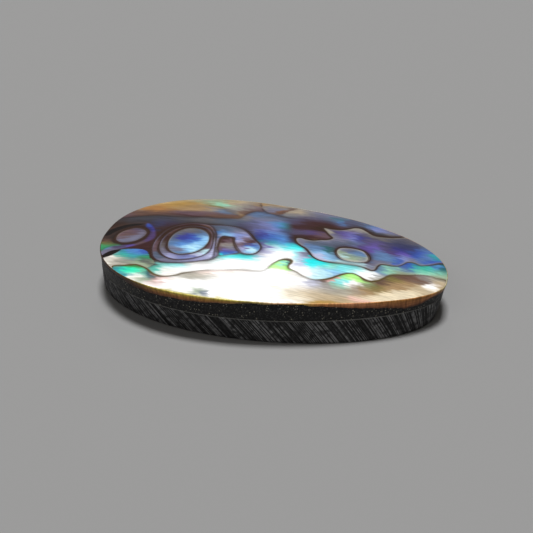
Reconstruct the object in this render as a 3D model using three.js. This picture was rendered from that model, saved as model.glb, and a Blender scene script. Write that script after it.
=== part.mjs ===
// A flat-backed abalone shell cabochon, 40 mm long: a low-domed slice of polished shell, bedded in
// black resin on a black backing slab. Seen from above it is one egg-shaped oval, narrow at +X.
// Millimetres, +Z up. The origin is the middle of the flat back, and +X is the long axis.
// Each layer is a unit lathe of nested rings, and its vertices are then moved out to the oval and
// up to the heights of the layer's own two faces.
import * as THREE from "three";

// The rim, where the polished face meets the side wall. Its two long sides are ground differently.
// Narrowing is how much narrower the +X end is than the middle, and the -X end wider.
// Squareness is the oval's exponent: 2 is an ellipse, more is fuller at the shoulders.
const RIM = { halfLength: 20, halfWidth: 11 };
const NEAR_SIDE = { narrowing: 0.28, squareness: 2.02 };
const FAR_SIDE = { narrowing: 0.1, squareness: 2.48 };

// The outline of the flat back. It is smaller than the rim, and lies further towards -X.
const BACK = { halfLength: 19.5, halfWidth: 10.4, shift: 0.5 };
const BACK_SIDE = { narrowing: 0.11, squareness: 2 };
const BACK_CHAMFER = 0.3; // the ground-off edge round the flat back

// Heights above the flat back.
const SLAB_TOP = 3;
const SLAB_LIP = 0.05; // the slab's top edge stands this far proud of the resin above it
const RIM_HEIGHT = 5.5; // at the middle of the length
const RIM_ARCH = 0.75; // the rim's two ends lie this much lower than its middle
const RIM_SLOPE = 0.38; // and the +X end this much lower again, the -X end higher
const DOME_RISE = 0.7; // the middle of the polished face above its rim

// The slice was cut from a wavy shell, so its edge is thick in some places and thin in others.
const EDGE_THICKNESS = 0.8;
const EDGE_SWELLS = [
  { x: 16.9, y: -4.7, reach: 2.2, add: 0.37 }, // thick brown edge near the narrow end
  { x: 19.6, y: -1.9, reach: 1.5, add: -0.4 },
  { x: 3.9, y: -9.5, reach: 7, add: -0.63 }, // ground thin at the middle of the -Y side
  { x: -10.4, y: -9.8, reach: 5.1, add: 0.26 },
  { x: -16.6, y: -7, reach: 4.2, add: -0.49 },
  { x: -12, y: 9, reach: 5, add: 0.25 },
  { x: 4, y: 10, reach: 5, add: -0.3 },
];

// Fineness of the faceting.
const AROUND = 72;
const FACE_RINGS = 7;

const signedPower = (v, power) => Math.sign(v) * Math.abs(v) ** power;

// Point of an oval's outline at an angle.
function ovalPoint(angle, size, side) {
  const power = 2 / side.squareness;
  const along = signedPower(Math.cos(angle), power);
  const across = signedPower(Math.sin(angle), power) * (1 - side.narrowing * along);
  return new THREE.Vector2(size.halfLength * along, size.halfWidth * across);
}

const rimPoint = (angle) =>
  ovalPoint(angle, RIM, Math.sin(angle) < 0 ? NEAR_SIDE : FAR_SIDE);

function backPoint(angle, inset = 0) {
  const size = {
    halfLength: BACK.halfLength - inset,
    halfWidth: BACK.halfWidth - inset,
  };
  const p = ovalPoint(angle, size, BACK_SIDE);
  return p.set(p.x - BACK.shift, p.y);
}

// Height of the rim at x, and inside it the height that the dome is raised from.
function rimHeight(x) {
  const along = x / RIM.halfLength;
  return RIM_HEIGHT - RIM_ARCH * along * along - RIM_SLOPE * along;
}

// The side wall runs straight from the rim down to the outline of the back.
function wallPoint(angle, height) {
  const rim = rimPoint(angle);
  const share = 1 - height / rimHeight(rim.x);
  return rim.lerp(backPoint(angle), share);
}

// Thickness of the shell slice below the level of its rim.
function sliceDepth(x, y) {
  return EDGE_SWELLS.reduce((depth, swell) => {
    const distance = Math.hypot(x - swell.x, y - swell.y) / swell.reach;
    return depth + swell.add * Math.exp(-distance * distance);
  }, EDGE_THICKNESS);
}

// The wavy joint between shell and resin. Its outline lies on the side wall.
function jointPoint(angle, scale) {
  const rim = rimPoint(angle);
  const edge = wallPoint(angle, rimHeight(rim.x) - sliceDepth(rim.x, rim.y));
  const depth = sliceDepth(scale * rim.x, scale * rim.y);
  const height = rimHeight(scale * rim.x) - depth;
  return new THREE.Vector3(edge.x * scale, edge.y * scale, height);
}

function domePoint(angle, scale) {
  const p = rimPoint(angle).multiplyScalar(scale);
  const height = rimHeight(p.x) + DOME_RISE * (1 - scale * scale);
  return new THREE.Vector3(p.x, p.y, height);
}

// A level face with an outline, which is a function of the angle.
const levelFace = (height, outline) => (angle, scale) => {
  const p = outline(angle);
  return new THREE.Vector3(p.x * scale, p.y * scale, height);
};

// A lathe splits all its quads along the same diagonal. From the ring firstRing on, this splits them
// along the other one, so that a layer's top matches the underside of the layer that lies on it.
function splitAlongOtherDiagonal(geometry, ringCount, firstRing) {
  const index = geometry.getIndex();
  for (let i = 0; i < index.count; i += 6) {
    const ring = (i / 6) % (ringCount - 1);
    if (ring < firstRing) continue;
    const [a, b, d, c] = [0, 1, 2, 3].map((k) => index.getX(i + k));
    [a, b, c, a, c, d].forEach((vertex, k) => index.setX(i + k, vertex));
  }
}

// A closed layer between two faces. Each face is a function of angle and scale, and has its own
// number of rings; the rows are rings of the wall between them, from the bottom up.
function layer(bottom, bottomRings, rows, top, topRings) {
  const rings = [];
  for (let i = 0; i <= bottomRings; i++) {
    rings.push({ face: bottom, scale: i / bottomRings });
  }
  rows.forEach((face) => rings.push({ face, scale: 1 }));
  for (let i = topRings; i >= 0; i--) {
    rings.push({ face: top, scale: i / topRings });
  }
  const profile = rings.map((ring, i) => new THREE.Vector2(ring.scale, i));
  const geometry = new THREE.LatheGeometry(profile, AROUND);
  const position = geometry.getAttribute("position");
  for (let i = 0; i < position.count; i++) {
    // The lathe writes its vertices one profile after another, round the axis.
    const ring = rings[i % rings.length];
    const step = Math.floor(i / rings.length) % AROUND;
    const p = ring.face((2 * Math.PI * step) / AROUND, ring.scale);
    position.setXYZ(i, p.x, p.y, p.z);
  }
  splitAlongOtherDiagonal(geometry, rings.length, bottomRings + rows.length + 1);
  geometry.deleteAttribute("normal");
  geometry.deleteAttribute("uv");
  return geometry;
}

function shellSlice() {
  return layer(jointPoint, FACE_RINGS, [], domePoint, FACE_RINGS);
}

function resinBed() {
  const inwards = 1 - SLAB_LIP / BACK.halfWidth;
  const outline = (angle) =>
    wallPoint(angle, SLAB_TOP).multiplyScalar(inwards);
  return layer(levelFace(SLAB_TOP, outline), 1, [], jointPoint, FACE_RINGS);
}

function backingSlab() {
  const back = levelFace(0, (angle) => backPoint(angle, BACK_CHAMFER));
  const foot = levelFace(BACK_CHAMFER, (angle) =>
    wallPoint(angle, BACK_CHAMFER),
  );
  const top = levelFace(SLAB_TOP, (angle) => wallPoint(angle, SLAB_TOP));
  return layer(back, 1, [foot], top, 1);
}

function piece(name, geometry, color, roughness) {
  const material = new THREE.MeshStandardMaterial({ color, roughness, metalness: 0 });
  const mesh = new THREE.Mesh(geometry, material);
  mesh.name = name;
  return mesh;
}

const cabochon = new THREE.Group();
cabochon.add(
  piece("shell_slice", shellSlice(), 0x9fb4c4, 0.15),
  piece("resin_bed", resinBed(), 0x15161a, 0.45),
  piece("backing_slab", backingSlab(), 0x2a2b2e, 0.7),
);

export default cabochon;
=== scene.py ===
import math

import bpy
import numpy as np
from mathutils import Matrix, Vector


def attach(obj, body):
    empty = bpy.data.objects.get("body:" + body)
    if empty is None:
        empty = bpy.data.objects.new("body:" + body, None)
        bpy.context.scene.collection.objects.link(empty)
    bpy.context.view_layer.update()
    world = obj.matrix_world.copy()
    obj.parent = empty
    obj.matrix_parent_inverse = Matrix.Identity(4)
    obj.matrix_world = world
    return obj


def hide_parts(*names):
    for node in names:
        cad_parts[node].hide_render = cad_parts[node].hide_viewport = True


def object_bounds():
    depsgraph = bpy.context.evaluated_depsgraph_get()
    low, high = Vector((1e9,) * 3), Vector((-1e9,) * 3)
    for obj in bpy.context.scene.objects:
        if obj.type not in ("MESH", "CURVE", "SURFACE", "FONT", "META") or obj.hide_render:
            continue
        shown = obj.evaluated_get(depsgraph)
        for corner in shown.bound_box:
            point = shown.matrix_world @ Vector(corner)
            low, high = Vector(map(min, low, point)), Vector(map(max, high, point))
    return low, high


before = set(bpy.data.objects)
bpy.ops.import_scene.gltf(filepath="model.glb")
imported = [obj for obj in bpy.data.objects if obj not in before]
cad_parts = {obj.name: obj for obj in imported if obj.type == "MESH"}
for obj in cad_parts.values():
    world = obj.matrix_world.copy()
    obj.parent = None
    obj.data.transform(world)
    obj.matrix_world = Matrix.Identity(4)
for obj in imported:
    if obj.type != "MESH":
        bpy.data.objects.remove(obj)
cad_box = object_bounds()

# Looks of a flat-backed abalone shell cabochon, built round its imported CAD frame.
# Three pieces stand for the three CAD nodes: the polished shell slice, the black resin bed under it
# and the ground backing slab. The face's pattern is a stack of nacre terraces. Each terrace has an
# outline, where a growth line comes to the surface, and soft drops of named colours.
# Lengths are in mm in the part's frame until a mesh is made: +X is the narrow end and +Z up.

MM = 0.001

# Shape of the outlines, as in the CAD part: (narrowing towards +X, exponent of the oval).
NEAR_SIDE = (0.28, 2.02)
FAR_SIDE = (0.10, 2.48)
BACK_SIDE = (0.11, 2.0)
BACK_INSET = (0.5, 0.6)  # how much smaller the back is than the rim, along and across
BACK_SHIFT = 0.5  # how far the back lies towards -X
BACK_CHAMFER = 0.3  # the ground-off edge round the flat back
SLAB_LIP = 0.05  # the slab's top edge stands this far proud of the resin
DOME_RISE = 0.7  # the middle of the polished face above its rim

# Fineness of the meshes, in cells.
FACE_ALONG = 330
FACE_ACROSS = 220
SHELL_WALL_ROWS = 8
RESIN_WALL_ROWS = 14
SLAB_COLUMNS = 1250
SLAB_ROWS = 28
HIDDEN_SCALES = (0.97, 0.9, 0.75, 0.5, 0.2)  # rings of the hidden joint, as shares of its outline
ROUNDING = np.radians([30, 60, 90])  # the steps of a rounded edge
TIP_WEDGE = 0.7  # radians of the oval's angle, either side, that each end of the face grid covers

JOINT_STEPS = 720  # the joint's height is read off the frame at this many bearings
JOINT_SMOOTHING = 7  # and smoothed over this many on either side

# Small relief, in mm.
RIM_RADIUS = 0.12  # the softened edge of the polished face
GROOVE_DEPTH = 0.012  # of a growth line
GROOVE_FADE = 40  # it fades out over the last 1/40 of the way to the rim
RESIN_ROUGHNESS = 0.012
SLAB_BEVEL = 0.06
GRIND_DEPTH = 0.035  # of the grinding marks on the slab

CAMERA_AZIMUTH = 14.6  # degrees, fitted with the other camera values below


# ---------------------------------------------------------------- the part's shape, from the frame
def node_points(node):
    return np.array([v.co[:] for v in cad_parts[node].data.vertices]) / MM


def signed_power(value, power):
    return np.sign(value) * np.abs(value) ** power


def unit_oval(angle, side):
    """Plan points of an oval's outline for a half length and half width of 1."""
    narrowing, squareness = side
    along = signed_power(np.cos(angle), 2 / squareness)
    across = signed_power(np.sin(angle), 2 / squareness) * (1 - narrowing * along)
    return np.stack([along, across], -1)


def unit_rim(angle):
    near = (np.sin(angle) < 0)[..., None]
    return np.where(near, unit_oval(angle, NEAR_SIDE), unit_oval(angle, FAR_SIDE))


SHELL_POINTS = node_points("shell_slice")
HALF_LENGTH = SHELL_POINTS[:, 0].max()
HALF_WIDTH = SHELL_POINTS[:, 1].max() / unit_rim(np.linspace(0, math.pi, 721))[:, 1].max()
SIZE = np.array([HALF_LENGTH, HALF_WIDTH])
RIM_HEIGHT = SHELL_POINTS[np.hypot(*SHELL_POINTS[:, :2].T) < 0.5, 2].max() - DOME_RISE
LEFT_TIP, RIGHT_TIP = (
    SHELL_POINTS[np.abs(SHELL_POINTS[:, 0] - x) < 0.01, 2].max() for x in (-HALF_LENGTH, HALF_LENGTH)
)
SLAB_TOP = node_points("backing_slab")[:, 2].max()


def rim(angle, inset=0.0):
    """Plan points of the rim at these angles, drawn in by inset."""
    return unit_rim(angle) * (SIZE - inset)


def rim_height(x):
    """Height of the arched rim at x, and inside it the height that the dome is raised from."""
    along = x / HALF_LENGTH
    arch = RIM_HEIGHT - (LEFT_TIP + RIGHT_TIP) / 2
    return RIM_HEIGHT - arch * along**2 - (LEFT_TIP - RIGHT_TIP) / 2 * along


def wall(angles, heights, inset=0.0):
    """Points of the side wall, which runs straight from the rim to the outline of the back."""
    top = rim(angles)
    back = unit_oval(angles, BACK_SIDE) * (SIZE - BACK_INSET) - (BACK_SHIFT, 0)
    share = np.reshape(1 - heights / rim_height(top[:, 0]), (-1, 1))
    plan = top + (back - top) * share - unit_rim(angles) * np.reshape(inset, (-1, 1))
    return level(plan, heights)


def level(plan, heights):
    """Points from plan points and their heights, or one height for all."""
    return np.column_stack([plan, np.broadcast_to(heights, len(plan))])


def rim_share(x, y):
    """1 on the rim and 0 in the middle, at plan points."""
    near = y < 0
    narrowing, squareness = (np.where(near, a, b) for a, b in zip(NEAR_SIDE, FAR_SIDE))
    share = np.ones(np.shape(x))
    for _ in range(12):
        along = np.clip(x / (HALF_LENGTH * np.maximum(share, 1e-6)), -1.2, 1.2)
        across = y / (HALF_WIDTH * (1 - narrowing * along))
        total = np.abs(x / HALF_LENGTH) ** squareness + np.abs(across) ** squareness
        share = total ** (1 / squareness)
    return share


def joint_heights(angles):
    """Height of the wavy shell and resin joint on the wall, read off the CAD slice and smoothed."""
    x, y, z = SHELL_POINTS.T
    ring = (rim_share(x, y) > 0.93) & (z < rim_height(x) - 0.1)  # on the wall, under the rim
    bearing = np.arctan2(y[ring], x[ring])
    order = np.argsort(bearing)
    fine = np.linspace(-math.pi, math.pi, JOINT_STEPS, endpoint=False)
    height = np.interp(fine, bearing[order], z[ring][order], period=2 * math.pi)
    window = np.hanning(2 * JOINT_SMOOTHING + 1)
    padded = np.concatenate([height[-JOINT_SMOOTHING:], height, height[:JOINT_SMOOTHING]])
    height = np.convolve(padded, window / window.sum(), "valid")
    plan = rim(angles)
    return np.interp(np.arctan2(plan[:, 1], plan[:, 0]), fine, height, period=2 * math.pi)


# ---------------------------------------------------------------- mesh making
def cloud(points, size, seed, waves=32):
    """Smooth noise of about -1 to 1 at the points, made of random waves about size mm long."""
    rng = np.random.default_rng(seed)
    direction = rng.normal(size=(waves, points.shape[-1]))
    direction /= np.linalg.norm(direction, axis=1)[:, None]
    wave = direction * (2 * math.pi / (size * rng.uniform(0.6, 1.8, (waves, 1))))
    phase = rng.uniform(0, 2 * math.pi, waves)
    total = np.zeros(points.shape[:-1])
    for k, start in zip(wave, phase):
        total += np.cos(points @ k + start)
    return total / math.sqrt(waves)


def face_angles_and_radii():
    """The square face grid laid over the oval: each vertex's angle and its radius, 1 at the edge."""
    u, v = np.meshgrid(
        np.linspace(-1, 1, FACE_ALONG + 1), np.linspace(-1, 1, FACE_ACROSS + 1), indexing="ij"
    )
    radius = np.maximum(np.abs(u), np.abs(v))
    at_an_end = np.abs(u) >= np.abs(v)
    safe_u, safe_v = np.where(u == 0, 1, u), np.where(v == 0, 1, v)
    ends = np.where(u < 0, math.pi, 0) + TIP_WEDGE * v / safe_u
    flanks = math.pi / 2 * np.sign(v) - (math.pi / 2 - TIP_WEDGE) * u / safe_v
    return np.where(at_an_end, ends, flanks).ravel(), radius.ravel()


def face_edge():
    """Indices of the face grid's edge vertices, counter-clockwise seen from above."""
    i, j = np.arange(FACE_ALONG), np.arange(FACE_ACROSS)
    row = FACE_ACROSS + 1
    near, right = i * row, FACE_ALONG * row + j
    far, left = (FACE_ALONG - i) * row + FACE_ACROSS, FACE_ACROSS - j
    return np.concatenate([near, right, far, left])


def face_quads():
    i, j = np.meshgrid(np.arange(FACE_ALONG), np.arange(FACE_ACROSS), indexing="ij")
    a = (i * (FACE_ACROSS + 1) + j).ravel()
    return np.stack([a, a + FACE_ACROSS + 1, a + FACE_ACROSS + 2, a + 1], 1)


def band_quads(upper, lower):
    """Outward quads between two closed rings of vertex indices, lower being under upper."""
    return np.stack([lower, np.roll(lower, -1), np.roll(upper, -1), upper], 1)


def ring_stack(rings, first=0):
    """Points and quads of rings that follow each other down a wall, and each ring's indices."""
    count = len(rings[0])
    index = [first + k * count + np.arange(count) for k in range(len(rings))]
    quads = [band_quads(upper, lower) for upper, lower in zip(index, index[1:])]
    return np.concatenate(rings), np.concatenate(quads), index


def make_piece(name, points, quads, caps):
    """A smooth-shaded mesh object from points in mm. Caps are closed faces of many corners."""
    mesh = bpy.data.meshes.new(name)
    faces = quads.tolist() + [cap.tolist() for cap in caps]
    mesh.from_pydata((points * MM).tolist(), [], faces)
    mesh.polygons.foreach_set("use_smooth", np.ones(len(mesh.polygons), bool))
    mesh.update()
    piece = bpy.data.objects.new(name, mesh)
    bpy.context.scene.collection.objects.link(piece)
    return piece


def set_float(piece, name, values):
    attribute = piece.data.attributes.new(name, "FLOAT", "POINT")
    attribute.data.foreach_set("value", np.asarray(values, np.float32))


def set_colour(piece, name, values):
    attribute = piece.data.attributes.new(name, "FLOAT_COLOR", "POINT")
    rgba = np.column_stack([values, np.ones(len(values))])
    attribute.data.foreach_set("color", rgba.astype(np.float32).ravel())


def set_vector(piece, name, values):
    attribute = piece.data.attributes.new(name, "FLOAT_VECTOR", "POINT")
    attribute.data.foreach_set("vector", np.asarray(values, np.float32).ravel())


# ---------------------------------------------------------------- the shell slice and its resin bed
def joint_line(angles):
    """Heights of the shell's lower edge on the wall: the frame's, with a cut shell's unevenness."""
    plan = rim(angles)
    uneven = 0.04 * cloud(plan, 2.2, 11) + 0.02 * cloud(plan, 0.7, 12)
    return joint_heights(angles) + uneven


def joint_ring(angles, heights, scale):
    """A ring of the hidden wavy joint, drawn in to scale."""
    edge = wall(angles, heights)
    middle = heights.mean()
    return level(edge[:, :2] * scale, middle + (heights - middle) * scale**2)


def rim_rings(angles):
    """The softened edge of the face, from the face's own edge down to the wall."""
    rings = []
    for turn in ROUNDING:
        plan = rim(angles, RIM_RADIUS * (1 - math.sin(turn)))
        drop = RIM_RADIUS * (1 - math.cos(turn))
        rings.append(level(plan, rim_height(plan[:, 0]) - drop))
    return rings


def face_points(plan, radii, look):
    """The domed face, with its growth lines cut in as grooves that fade out at the rim."""
    groove = GROOVE_DEPTH * look["strength"] * np.exp(-look["line"] ** 2)
    groove *= np.clip((1 - radii) * GROOVE_FADE, 0, 1)
    return level(plan, rim_height(plan[:, 0]) + DOME_RISE * (1 - radii**2) - groove)


def shell_slice():
    angles, radii = face_angles_and_radii()
    plan = rim(angles, RIM_RADIUS) * radii[:, None]
    look = paint(plan)
    face = face_points(plan, radii, look)
    around = angles[face_edge()]
    joint = joint_line(around)
    top = rim_height(rim(around)[:, 0])
    foot = top - RIM_RADIUS
    rings = rim_rings(around)
    for share in np.linspace(0, 1, SHELL_WALL_ROWS + 1)[1:]:
        rings.append(wall(around, foot + (joint - foot) * share))
    rings += [joint_ring(around, joint, scale) for scale in HIDDEN_SCALES]
    below, quads, index = ring_stack(rings, len(face))
    top_band = band_quads(face_edge(), index[0])
    quads = np.concatenate([face_quads(), top_band, quads])
    piece = make_piece("abalone_slice", np.concatenate([face, below]), quads, [index[-1][::-1]])
    depth = (np.tile(top, len(rings)) - below[:, 2]) / np.tile(top - joint, len(rings))
    colour_shell(piece, look, below, np.clip(depth, 0, 1))
    return piece


def colour_shell(piece, look, below, depth):
    """Attributes and materials of the slice.

    Below are the points under the face. Their depth is 0 at the rim and 1 at the resin.
    """
    under = len(below)
    edge = drop_colour(below[:, 0], depth * EDGE_STRETCH, EDGE_DROPS)
    set_colour(piece, "nacre", np.concatenate([look["colour"], edge]))
    set_colour(piece, "line_colour", np.concatenate([look["line_colour"], edge]))
    set_float(piece, "line", np.append(look["line"], np.full(under, NO_LINE)))
    set_float(piece, "strength", np.append(look["strength"], np.zeros(under)))
    piece.data.materials.append(nacre_material())
    piece.data.materials.append(edge_material())
    on_edge = np.ones(len(piece.data.polygons), np.int32)
    on_edge[: FACE_ALONG * FACE_ACROSS] = 0
    piece.data.polygons.foreach_set("material_index", on_edge)


def resin_bed():
    angles = face_angles_and_radii()[0][face_edge()]
    joint = joint_line(angles)
    rings = [joint_ring(angles, joint, scale) for scale in reversed(HIDDEN_SCALES)]
    for share in np.linspace(0, 1, RESIN_WALL_ROWS + 1):
        height = joint + (SLAB_TOP - joint) * share
        relief = RESIN_ROUGHNESS * (1 + cloud(wall(angles, height), 0.5, 21))
        rings.append(wall(angles, height, relief * (0 < share < 1) + SLAB_LIP * share))
    points, quads, index = ring_stack(rings)
    piece = make_piece("speckled_resin", points, quads, [index[0], index[-1][::-1]])
    piece.data.materials.append(resin_material())
    return piece


# ---------------------------------------------------------------- the backing slab
def slab_columns():
    """Columns of the wall's mesh, one per grinding mark: their arc positions and leans."""
    table = np.linspace(-math.pi, math.pi, 4001)
    plan = wall(table, SLAB_TOP / 2)[:, :2]
    length = np.append(0, np.cumsum(np.hypot(*np.diff(plan, axis=0).T)))
    arc = np.linspace(0, length[-1], SLAB_COLUMNS, endpoint=False)
    angle = np.interp(arc, length, table)
    lean = 0.85 - 0.65 * np.exp(-((angle / 0.5) ** 2))  # mm along for each mm of height
    return arc, lean, length, table


def backing_slab():
    arc, lean, length, table = slab_columns()

    def angles_at(height):
        moved = (arc - (height - SLAB_TOP / 2) * lean) % length[-1]
        return np.interp(moved, length, table)

    middle = wall(angles_at(SLAB_TOP / 2), SLAB_TOP / 2)[:, :2]
    marks = np.clip(cloud(middle, 0.22, 31, 60), 0, 2) + 0.5 * np.clip(cloud(middle, 0.8, 32), 0, 2)
    rings = [wall(angles_at(SLAB_TOP), SLAB_TOP, SLAB_BEVEL)]
    for height in np.linspace(SLAB_TOP - SLAB_BEVEL, BACK_CHAMFER, SLAB_ROWS + 1):
        angles = angles_at(height)
        broken = np.clip(0.6 + 0.6 * cloud(wall(angles, height), 1.4, 33), 0, 1)
        rings.append(wall(angles, height, GRIND_DEPTH * marks * broken))
    for turn in ROUNDING:
        height = BACK_CHAMFER * (1 - math.sin(turn))
        rings.append(wall(angles_at(height), height, BACK_CHAMFER * (1 - math.cos(turn))))
    points, quads, index = ring_stack(rings)
    piece = make_piece("ground_slab", points, quads, [index[0], index[-1][::-1]])
    set_vector(piece, "grain", np.tile(level(middle, 0.0), (len(rings), 1)))
    piece.data.materials.append(slab_material())
    piece.data.materials.append(slab_back_material())
    piece.data.polygons[-1].material_index = 1
    return piece


# ---------------------------------------------------------------- the nacre's pattern
PALETTE = {
    "ink": "171214", "soot": "262326", "umber": "38241c", "maroon": "422629", "cocoa": "6b5248",
    "mauve": "6a555e", "plum": "584676", "violet": "6a5aa8", "indigo": "3b3a86", "cobalt": "3c5bb0",
    "azure": "5689c6", "steel": "6180a8", "slate": "596478", "graphite": "46464d",
    "periwinkle": "7e89be", "lilac": "a0a3c8", "lavender": "bcc0de", "sky": "8fc0e6", "ice": "c6eef7",
    "cyan": "22e8ec", "aqua": "7fe4e6", "teal": "3d98a4", "deep_teal": "2f6a70", "sea": "42b6a2",
    "jade": "38f0c0", "mint": "96d2b6", "green": "3a9c6c", "leaf": "4e7a34", "lime": "b6f68c",
    "sage": "94a48a", "olive": "7d7243", "gold": "b08e4e", "amber": "a97c4c", "tan": "a48a68",
    "sand": "bba98c", "cream": "e2d5ba", "pearl": "f6f3ec", "white": "ffffff", "blush": "f5ded4",
    "rose": "e4b3ac", "salmon": "dc9c74", "ash": "918c88", "smoke": "6c686b", "stone": "aba698",
    "navy": "3b3f60", "straw": "b3a94e", "bark": "59481f", "ochre": "a87438", "rust": "94603f",
    "dusk": "55506c", "haze": "77778c",
}
PATTERN_SLIDE = (0.17, -0.65, -1.27)  # mm away from the viewer, by 1, x and x squared in half lengths
STREAK_SCALE = (0.4, 1.3)  # the silky streaks in the nacre run along X
DROP_SOFTNESS = 0.5  # smaller blends neighbouring drops further into each other
OUTLINE_STEPS = 9  # curve points for each span of an outline
OUTLINE_REACH = 2.0  # mm from an outline within which distances to it are worked out
NO_LINE = 9.0  # stands for a growth line that is too far off to show


def linear(name):
    """A palette colour in linear light."""
    rgb = np.array([int(PALETTE[name][i : i + 2], 16) for i in (0, 2, 4)]) / 255
    return np.where(rgb <= 0.04045, rgb / 12.92, ((rgb + 0.055) / 1.055) ** 2.4)


def smooth_loop(points):
    """A closed Catmull-Rom curve through the points."""
    p = np.array(points, float)
    t = (np.arange(OUTLINE_STEPS) / OUTLINE_STEPS)[None, :, None]
    a, b, c, d = (q[:, None, :] for q in (np.roll(p, 1, 0), p, np.roll(p, -1, 0), np.roll(p, -2, 0)))
    bend = (2 * a - 5 * b + 4 * c - d) * t**2 + (3 * b - 3 * c + d - a) * t**3
    return (b + 0.5 * ((c - a) * t + bend)).reshape(-1, 2)


def inside_depth(x, y, loop):
    """Distance to the loop in mm, positive inside it and at least -OUTLINE_REACH outside it."""
    reach = OUTLINE_REACH
    depth = np.full(x.shape, -reach)
    low, high = loop.min(0) - reach, loop.max(0) + reach
    near = np.flatnonzero((x > low[0]) & (x < high[0]) & (y > low[1]) & (y < high[1]))
    start_x, start_y = loop.T
    end_x, end_y = np.roll(loop, -1, 0).T
    slope = (end_x - start_x) / (end_y - start_y + 1e-12)
    for part in np.array_split(near, len(near) // 20000 + 1):  # in parts, to save memory
        px, py = x[part, None], y[part, None]
        share = (px - start_x) * (end_x - start_x) + (py - start_y) * (end_y - start_y)
        share /= (end_x - start_x) ** 2 + (end_y - start_y) ** 2 + 1e-12
        share = np.clip(share, 0, 1)
        gap_x = px - start_x - share * (end_x - start_x)
        gap_y = py - start_y - share * (end_y - start_y)
        distance = np.sqrt((gap_x**2 + gap_y**2).min(1))
        crossed = ((start_y > py) != (end_y > py)) & (px < start_x + (py - start_y) * slope)
        side = np.where(crossed.sum(1) % 2 == 1, 1, -1)
        depth[part] = np.maximum(side * distance, -reach)
    return depth


def drop_colour(x, y, drops):
    """Soft drops of colour, each blended with its neighbours by nearness.

    A drop is (colour, x, y, reach along x, reach along y, and a turn in degrees if it has one).
    """
    total = np.zeros(x.shape)
    colour = np.zeros(x.shape + (3,))
    for name, centre_x, centre_y, reach_x, reach_y, *turn in drops:
        a = math.radians(turn[0]) if turn else 0.0
        u = ((x - centre_x) * math.cos(a) + (y - centre_y) * math.sin(a)) / reach_x
        v = ((y - centre_y) * math.cos(a) - (x - centre_x) * math.sin(a)) / reach_y
        weight = np.exp(-DROP_SOFTNESS * np.minimum(u * u + v * v, 900))
        total += weight
        colour += weight[:, None] * np.sqrt(linear(name))
    return (colour / np.maximum(total, 1e-200)[:, None]) ** 2


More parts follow.
